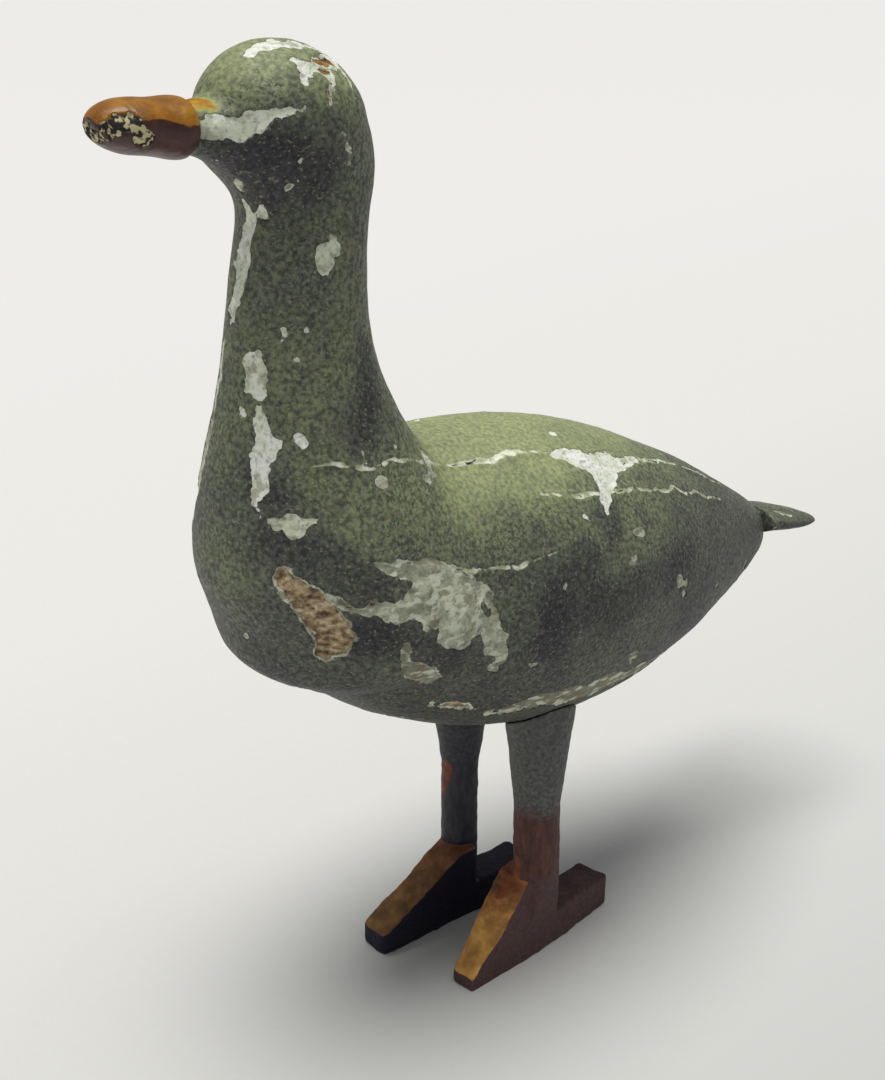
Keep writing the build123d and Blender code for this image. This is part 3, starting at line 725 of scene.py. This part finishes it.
class Finish:
    """A procedural material, built step by step."""

    def __init__(self, title):
        self.material = bpy.data.materials.new(title)
        self.material.use_nodes = True
        self.tree = self.material.node_tree
        self.tree.nodes.clear()
        self.surface = self.add("ShaderNodeBsdfPrincipled")
        output = self.add("ShaderNodeOutputMaterial")
        self.tree.links.new(self.surface.outputs["BSDF"], output.inputs["Surface"])
        self.place = self.add("ShaderNodeTexCoord").outputs["Object"]
        self.place = self.sized((1 / MM,) * 3)

    def add(self, kind, **choices):
        node = self.tree.nodes.new(kind)
        for name, choice in choices.items():
            setattr(node, name, choice)
        return node

    def put(self, socket, value):
        if isinstance(value, bpy.types.NodeSocket):
            self.tree.links.new(value, socket)
        else:
            socket.default_value = value

    def sized(self, scale):
        node = self.add("ShaderNodeVectorMath", operation="MULTIPLY")
        self.put(node.inputs[0], self.place)
        self.put(node.inputs[1], scale)
        return node.outputs[0]

    def math(self, kind, first, second=0.0):
        node = self.add("ShaderNodeMath", operation=kind)
        self.put(node.inputs[0], first)
        self.put(node.inputs[1], second)
        return node.outputs[0]

    def total(self, *values):
        result = values[0]
        for value in values[1:]:
            result = self.math("ADD", result, value)
        return result

    def field(self, name):
        return self.add("ShaderNodeAttribute", attribute_name=name).outputs["Fac"]

    def grains(self, size, detail=2.0, stretch=(1, 1, 1)):
        """Noise with grains about size millimetres across, from -1 to 1."""
        node = self.add("ShaderNodeTexNoise")
        self.put(node.inputs["Vector"], self.sized(stretch))
        node.inputs["Scale"].default_value = 1 / size
        node.inputs["Detail"].default_value = detail
        return self.math("MULTIPLY", self.math("SUBTRACT", node.outputs["Fac"], 0.5), 2.0)

    def step(self, value, low, high):
        node = self.add("ShaderNodeMapRange", interpolation_type="SMOOTHSTEP")
        self.put(node.inputs["Value"], value)
        node.inputs["From Min"].default_value = low
        node.inputs["From Max"].default_value = high
        return node.outputs["Result"]

    def blend(self, share, first, second, kind="MIX"):
        node = self.add("ShaderNodeMix", data_type="RGBA", blend_type=kind)
        self.put(node.inputs["Factor"], share)
        self.put(node.inputs["A"], first)
        self.put(node.inputs["B"], second)
        return node.outputs["Result"]

    def ramp(self, value, *stops):
        node = self.add("ShaderNodeValToRGB")
        self.put(node.inputs["Fac"], value)
        points = node.color_ramp.elements
        while len(points) < len(stops):
            points.new(0.5)
        for point, (position, colour) in zip(points, stops):
            point.position = position
            point.color = colour
        return node.outputs["Color"]

    def relief(self, height, depth, under=None):
        """A bump whose height of one stands depth millimetres proud."""
        node = self.add("ShaderNodeBump")
        node.inputs["Distance"].default_value = depth * MM
        self.put(node.inputs["Height"], height)
        if under is not None:
            self.put(node.inputs["Normal"], under)
        return node.outputs["Normal"]

    def finish(self, colour, roughness, normal):
        self.put(self.surface.inputs["Base Color"], colour)
        self.put(self.surface.inputs["Roughness"], roughness)
        self.put(self.surface.inputs["Normal"], normal)
        return self.material


print("pale gesso as light:", [round(level, 2) for level in tint(226, 234, 214)[:3]])

# %% [markdown]
# The painted wood has three layers. Paint lies on gesso, and gesso on wood. The stored wear,
# made a little more ragged by fine noise, chooses which layer shows. The paint itself is old
# oil or casein: a grey green full of dark and tan specks. Painted light makes it paler and
# yellower on the back and crown, and painted shade makes it darker and purplish below.

# %% Worn paint over gesso over wood


def worn_paint():
    coat = Finish("worn_grey_green_paint")
    fine = coat.grains(0.28, 3)
    broken = coat.total(
        coat.field("lost_paint"),
        coat.math("MULTIPLY", coat.grains(0.7, 3), 0.22),
        coat.math("MULTIPLY", fine, 0.10),
    )
    no_paint = coat.step(broken, -0.02, 0.03)
    deep = coat.math("ADD", coat.field("lost_gesso"), coat.math("MULTIPLY", fine, 0.16))
    no_gesso = coat.step(deep, -0.02, 0.04)
    split = coat.math("ADD", coat.field("crack"), coat.math("MULTIPLY", coat.grains(0.5, 3), 0.07))

    painted_light_and_tone = coat.total(coat.field("painted_light_and_tone"), coat.math("MULTIPLY", coat.grains(3.0, 4), 0.16))
    # Low tone is painted shade, a dark purplish grey; high tone is painted light, a pale yellow green.
    paint = coat.ramp(
        painted_light_and_tone,
        (0.0, tint(56, 55, 64)),
        (0.35, tint(96, 101, 92)),
        (0.6, tint(128, 137, 110)),
        (1.0, tint(172, 181, 134)),
    )
    busy = coat.math("SUBTRACT", 1.0, coat.math("MULTIPLY", coat.step(coat.field("painted_light_and_tone"), 0.5, 0.9), 0.7))
    mottle = coat.step(coat.grains(0.26, 5), -0.4, 0.4)
    bruise = coat.step(coat.grains(1.6, 4), 0.02, 0.4)
    bruised = coat.math("MULTIPLY", coat.math("MULTIPLY", bruise, busy), 0.35)
    paint = coat.blend(bruised, paint, tint(78, 68, 82))
    salt = coat.ramp(mottle, (0, tint(52, 56, 66)), (1, tint(232, 230, 204)))
    paint = coat.blend(coat.math("ADD", 0.25, coat.math("MULTIPLY", busy, 0.35)), paint, salt, "OVERLAY")
    dark = coat.step(coat.grains(0.16, 3), 0.06, 0.3)
    pepper = coat.math("MULTIPLY", coat.step(coat.grains(4.0, 3), -0.35, 0.35), busy)
    peppered = coat.math("MULTIPLY", coat.math("MULTIPLY", dark, pepper), 0.7)
    paint = coat.blend(peppered, paint, tint(38, 42, 54))
    pale = coat.step(coat.grains(0.2, 3, (1.1, 0.9, 1.2)), 0.16, 0.4)
    rubbed = coat.math("MULTIPLY", coat.math("MULTIPLY", pale, busy), 0.4)
    paint = coat.blend(rubbed, paint, tint(176, 176, 138))
    tan = coat.step(coat.grains(0.4, 2, (0.9, 1.1, 1.2)), 0.3, 0.45)
    paint = coat.blend(coat.math("MULTIPLY", tan, 0.35), paint, tint(150, 122, 92))

    clean = coat.total(coat.field("clean"), coat.math("MULTIPLY", coat.grains(0.9, 4), 0.55))
    gesso = coat.ramp(
        clean,
        (0.0, tint(128, 116, 96)),
        (0.3, tint(140, 144, 124)),
        (0.5, tint(184, 187, 162)),
        (0.8, tint(232, 238, 214)),
        (1.0, tint(252, 254, 246)),
    )
    edge = coat.math("MULTIPLY", coat.math("SUBTRACT", 1.0, coat.step(broken, 0.03, 0.14)),
                     coat.step(coat.grains(1.2, 3), -0.2, 0.3))
    gesso = coat.blend(coat.math("MULTIPLY", edge, 0.6), gesso, tint(236, 240, 216))
    dust = coat.step(coat.grains(0.25, 4), -0.05, 0.4)
    gesso = coat.blend(coat.math("MULTIPLY", dust, 0.5), gesso, tint(96, 96, 84))
    chalk = coat.step(coat.grains(0.5, 5, (1, 0.6, 1.3)), 0.0, 0.22)
    gesso = coat.blend(coat.math("MULTIPLY", chalk, 0.7), gesso, tint(226, 232, 208))
    scuff = coat.step(coat.grains(0.7, 4, (1, 0.5, 1)), 0.12, 0.3)
    gesso = coat.blend(coat.math("MULTIPLY", scuff, 0.45), gesso, tint(122, 108, 84))

    grain = coat.step(coat.grains(0.32, 4, (1, 0.14, 1)), -0.5, 0.5)
    wood = coat.ramp(
        grain,
        (0.0, tint(70, 54, 42)),
        (0.3, tint(134, 112, 84)),
        (0.7, tint(186, 164, 128)),
        (1.0, tint(220, 204, 168)),
    )
    ruddy = coat.ramp(grain, (0.0, tint(104, 64, 34)), (1.0, tint(196, 144, 86)))
    wood = coat.blend(coat.step(coat.field("painted_light_and_tone"), 0.6, 0.8), wood, ruddy)

    colour = coat.blend(no_paint, paint, gesso)
    colour = coat.blend(no_gesso, colour, wood)
    wood_split = coat.math("ADD", coat.field("split"), coat.math("MULTIPLY", fine, 0.1))
    colour = coat.blend(coat.step(wood_split, -0.04, 0.03), colour, tint(58, 40, 32))
    cream = coat.blend(coat.step(coat.grains(0.8, 3), -0.2, 0.3), tint(178, 184, 148), tint(246, 250, 226))
    colour = coat.blend(coat.step(split, -0.05, 0.03), colour, cream)
    hollow = coat.step(coat.grains(1.3, 2), 0.12, 0.2)
    core = coat.math("MULTIPLY", coat.step(split, 0.06, 0.1), hollow)
    colour = coat.blend(core, colour, tint(46, 40, 34))
    amber = coat.math("ADD", coat.field("amber_run"), coat.math("MULTIPLY", coat.grains(0.5, 3), 0.3))
    halo = coat.math("MULTIPLY", coat.step(amber, -0.25, -0.05), 0.6)
    colour = coat.blend(halo, colour, tint(186, 182, 80))
    run = coat.blend(coat.step(coat.grains(0.6, 3), -0.3, 0.3), tint(150, 98, 12), tint(196, 148, 24))
    colour = coat.blend(coat.step(amber, -0.08, 0.16), colour, run)

    height = coat.total(
        coat.math("MULTIPLY", no_paint, -0.07),
        coat.math("MULTIPLY", no_gesso, -0.12),
        coat.math("MULTIPLY", core, -0.10),
        coat.math("MULTIPLY", fine, 0.022),
        coat.math("MULTIPLY", coat.grains(0.12, 2), 0.010),
        coat.math("MULTIPLY", coat.math("MULTIPLY", grain, no_gesso), 0.03),
    )
    roughness = coat.total(0.62, coat.math("MULTIPLY", no_paint, 0.2), coat.math("MULTIPLY", mottle, -0.12))
    coat.surface.inputs["Specular IOR Level"].default_value = 0.35
    return coat.finish(colour, roughness, coat.relief(height, 1.0))


painted_wood = worn_paint()

# %% [markdown]
# Amber wax is glossy and a little translucent. A clear coat gives the gloss, and the colour runs
# from yellow amber on top to a dark red brown where the wax is thick and dirty.

# %% Amber wax


def amber_wax():
    wax = Finish("amber_bill_wax")
    cloud = wax.grains(1.1, 4)
    top = wax.ramp(
        wax.math("ADD", 0.5, wax.math("MULTIPLY", cloud, 0.6)),
        (0.1, tint(110, 62, 4)),
        (0.5, tint(156, 100, 4)),
        (0.9, tint(194, 142, 18)),
    )
    side = wax.ramp(
        wax.math("ADD", 0.5, wax.math("MULTIPLY", wax.grains(0.6, 3), 0.6)),
        (0.1, tint(44, 20, 20)),
        (0.6, tint(72, 38, 30)),
        (1.0, tint(104, 62, 36)),
    )
    top_share = wax.total(wax.field("topside"), wax.math("MULTIPLY", wax.grains(0.5, 3), 0.35))
    colour = wax.blend(wax.step(top_share, 0.3, 0.6), side, top)
    chip = wax.math("ADD", wax.field("chipped"), wax.math("MULTIPLY", wax.grains(0.3, 4), 0.25))
    inner = wax.step(wax.grains(0.3, 4), -0.02, 0.18)
    crumb = wax.blend(inner, tint(34, 28, 28), tint(206, 196, 150))
    colour = wax.blend(wax.step(chip, -0.02, 0.04), colour, crumb)
    height = wax.total(
        wax.math("MULTIPLY", wax.step(chip, -0.04, 0.05), -0.10),
        wax.math("MULTIPLY", wax.grains(0.4, 3), 0.03),
    )
    roughness = wax.total(
        0.42,
        wax.math("MULTIPLY", wax.step(chip, -0.02, 0.04), 0.4),
        wax.math("MULTIPLY", cloud, 0.08),
    )
    wax.surface.inputs["Coat Weight"].default_value = 0.08
    wax.surface.inputs["Coat Roughness"].default_value = 0.18
    return wax.finish(colour, roughness, wax.relief(height, 1.0))


bill_wax = amber_wax()

# %% [markdown]
# The legs are thinly stained. The left one is grey down to the thigh line, red brown below it,
# ochre on the front slope of the foot and dull purple brown on its sides. The right one is
# darker all over, and its nearly black sides are a dark stain with painted shade from between
# the legs. Each has a small rubbed patch of orange brown.

# %% Leg paint


def shades(finish, value, colour, spread):
    """One colour that runs from darker to lighter as value goes from -1 to 1."""
    middle = finish.math("ADD", 0.5, finish.math("MULTIPLY", value, 0.7))
    darker = tint(*(level * (1 - spread) for level in colour))
    lighter = tint(*(min(255, level * (1 + spread)) for level in colour))
    return finish.ramp(middle, (0.1, darker), (0.5, tint(*colour)), (0.9, lighter))


def leg_paint(title, thigh, shank, ramp, toe, side, patch):
    stain_and_shade = Finish(title)
    speck = stain_and_shade.grains(0.26, 3)
    streak = stain_and_shade.grains(0.35, 4, (1, 1, 0.3))
    cloud = stain_and_shade.grains(1.0, 4)
    colour = stain_and_shade.blend(
        stain_and_shade.step(stain_and_shade.total(stain_and_shade.field("side"), stain_and_shade.math("MULTIPLY", cloud, 0.5)), 0.3, 0.8),
        shades(stain_and_shade, streak, shank, 0.35),
        shades(stain_and_shade, speck, side, 0.25),
    )
    rubbed = stain_and_shade.step(stain_and_shade.total(stain_and_shade.field("ramp"), stain_and_shade.math("MULTIPLY", speck, 0.35)), 0.4, 0.65)
    high = stain_and_shade.step(stain_and_shade.total(stain_and_shade.field("height"), stain_and_shade.math("MULTIPLY", speck, 0.1)), 0.2, 0.5)
    worn = stain_and_shade.blend(high, shades(stain_and_shade, cloud, toe, 0.35), shades(stain_and_shade, cloud, ramp, 0.35))
    colour = stain_and_shade.blend(rubbed, colour, worn)
    thigh_line = stain_and_shade.math("ADD", stain_and_shade.field("thigh"), stain_and_shade.math("MULTIPLY", speck, 0.9))
    above = stain_and_shade.step(thigh_line, -0.9, 0.9)
    colour = stain_and_shade.blend(above, colour, shades(stain_and_shade, speck, thigh, 0.35))
    spot = stain_and_shade.math("ADD", stain_and_shade.field("patch"), stain_and_shade.math("MULTIPLY", speck, 0.2))
    colour = stain_and_shade.blend(stain_and_shade.step(spot, -0.2, 0.15), colour, shades(stain_and_shade, cloud, patch, 0.3))
    grime = stain_and_shade.step(stain_and_shade.math("ADD", stain_and_shade.field("shade"), stain_and_shade.math("MULTIPLY", speck, 0.4)), 0.2, 0.9)
    colour = stain_and_shade.blend(stain_and_shade.math("MULTIPLY", grime, 0.4), colour, tint(52, 42, 48))
    height = stain_and_shade.total(
        stain_and_shade.math("MULTIPLY", speck, 0.03),
        stain_and_shade.math("MULTIPLY", streak, 0.03),
        stain_and_shade.math("MULTIPLY", above, 0.03),
    )
    roughness = stain_and_shade.math("ADD", 0.6, stain_and_shade.math("MULTIPLY", speck, 0.12))
    stain_and_shade.surface.inputs["Specular IOR Level"].default_value = 0.3
    return stain_and_shade.finish(colour, roughness, stain_and_shade.relief(height, 1.0))


left_stain = leg_paint(
    "left_leg_stain",
    thigh=(90, 91, 88),
    shank=(88, 56, 50),
    ramp=(150, 94, 54),
    toe=(206, 152, 78),
    side=(84, 60, 60),
    patch=(138, 76, 44),
)
right_stain_and_shade = leg_paint(
    "right_leg_stain_and_painted_shade",
    thigh=(66, 66, 72),
    shank=(58, 57, 64),
    ramp=(122, 76, 48),
    toe=(124, 90, 50),
    # Nearly black sides: a dark stain with painted shade from between the legs.
    side=(30, 28, 46),
    patch=(124, 64, 44),
)

# %% [markdown]
# The dowels inside the joints stay as the CAD made them. They only need bare softwood, with
# rings across and long grain down each peg.

# %% Bare dowel wood


def dowel_wood():
    peg = Finish("dowel_softwood")
    grain = peg.grains(0.25, 4, (1, 1, 0.12))
    colour = peg.ramp(
        peg.math("ADD", 0.5, peg.math("MULTIPLY", grain, 0.7)),
        (0.0, tint(150, 112, 70)),
        (1.0, tint(220, 188, 140)),
    )
    roughness = peg.math("ADD", 0.7, peg.math("MULTIPLY", grain, 0.1))
    return peg.finish(colour, roughness, peg.relief(grain, 0.02))


softwood = dowel_wood()


def wear_finish(piece, material):
    piece.data.materials.clear()
    piece.data.materials.append(material)


for piece in (body, neck, head, tail):
    wear_finish(piece, painted_wood)
wear_finish(bill, bill_wax)
wear_finish(leg_left, left_stain)
wear_finish(leg_right, right_stain_and_shade)
for name in ("neck_dowel", "head_dowel"):
    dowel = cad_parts[name]
    for socket in dowel.material_slots:
        socket.material = softwood
    print(name, "wears", dowel.material_slots[0].material.name)

# %% [markdown]
# The goose stands on a plain pale sheet. The sheet darkens a little towards the goose's left,
# where less daylight reaches it, and it isn't part of the object.

# %% The floor
FLOOR_REACH = 3.0
SHEET_FAR = 200
SHEET_SPAN = 280


def pale_sheet():
    sheet = Finish("pale_sheet")
    across = sheet.add("ShaderNodeSeparateXYZ")
    sheet.tree.links.new(sheet.place, across.inputs[0])
    share = sheet.math("DIVIDE", sheet.math("ADD", across.outputs["X"], SHEET_FAR), SHEET_SPAN)
    colour = sheet.ramp(
        share,
        (0.0, tint(241, 239, 236)),
        (0.5, tint(236, 235, 230)),
        (0.71, tint(225, 225, 221)),
        (0.93, tint(190, 191, 188)),
    )
    fibre = sheet.grains(0.8, 4)
    speck = sheet.math("ADD", 0.05, sheet.math("MULTIPLY", fibre, 0.05))
    colour = sheet.blend(speck, colour, tint(196, 196, 200))
    return sheet.finish(colour, 0.85, sheet.relief(fibre, 0.02))


floor_mesh = bpy.data.meshes.new("pale_floor")
floor_form = bmesh.new()
bmesh.ops.create_grid(floor_form, x_segments=24, y_segments=24, size=FLOOR_REACH)
floor_form.to_mesh(floor_mesh)
floor_form.free()
floor = bpy.data.objects.new("pale_floor", floor_mesh)
bpy.context.scene.collection.objects.link(floor)
wear_finish(floor, pale_sheet())

# %% [markdown]
# Broad daylight comes from almost straight overhead, leaning a little ahead of the goose. It is
# a sun lamp that looks very wide, so the shadow under the body melts at its edges. A pale sky
# fills the rest.

# %% Soft light from above
DAYLIGHT_SPREAD = 36
DAYLIGHT_FROM = Vector((0.0, -0.07, 1.0))
DAYLIGHT_STRENGTH = 2.52
SKY_STRENGTH = 0.24

daylight = bpy.data.lights.new("daylight", "SUN")
daylight.angle = math.radians(DAYLIGHT_SPREAD)
daylight.energy = DAYLIGHT_STRENGTH
daylight.color = (1.0, 0.99, 0.97)
daylight_lamp = bpy.data.objects.new("daylight", daylight)
daylight_lamp.rotation_mode = "QUATERNION"
daylight_lamp.rotation_quaternion = DAYLIGHT_FROM.to_track_quat("Z", "Y")
bpy.context.scene.collection.objects.link(daylight_lamp)

sky = bpy.data.worlds.new("pale_sky")
sky.use_nodes = True
sky_light = sky.node_tree.nodes["Background"]
sky_light.inputs["Color"].default_value = (0.95, 0.96, 1.0, 1)
sky_light.inputs["Strength"].default_value = SKY_STRENGTH
bpy.context.scene.world = sky
bpy.context.scene.view_settings.view_transform = "Standard"
print("daylight leans", round(math.degrees(DAYLIGHT_FROM.angle(Vector((0, 0, 1)))), 1), "degrees")

# %% [markdown]
# The camera looks down on the goose from its front left, close by, as if held in one hand.

# %% Camera
CAMERA_PLACE = Vector((63.8, -65.3, 64.8)) * MM
CAMERA_AIM = Vector((-0.6890, 0.6204, -0.3746))
view = bpy.data.cameras.new("hand_view")
view.lens = 50.67
view.sensor_width = 36
view.clip_start = 0.005
view.clip_end = 20
camera = bpy.data.objects.new("hand_view", view)
camera.location = CAMERA_PLACE
camera.rotation_mode = "QUATERNION"
camera.rotation_quaternion = CAMERA_AIM.to_track_quat("-Z", "Y")
bpy.context.scene.collection.objects.link(camera)
bpy.context.scene.camera = camera
print("camera stands", round((CAMERA_PLACE.length) * 100, 1), "cm away")
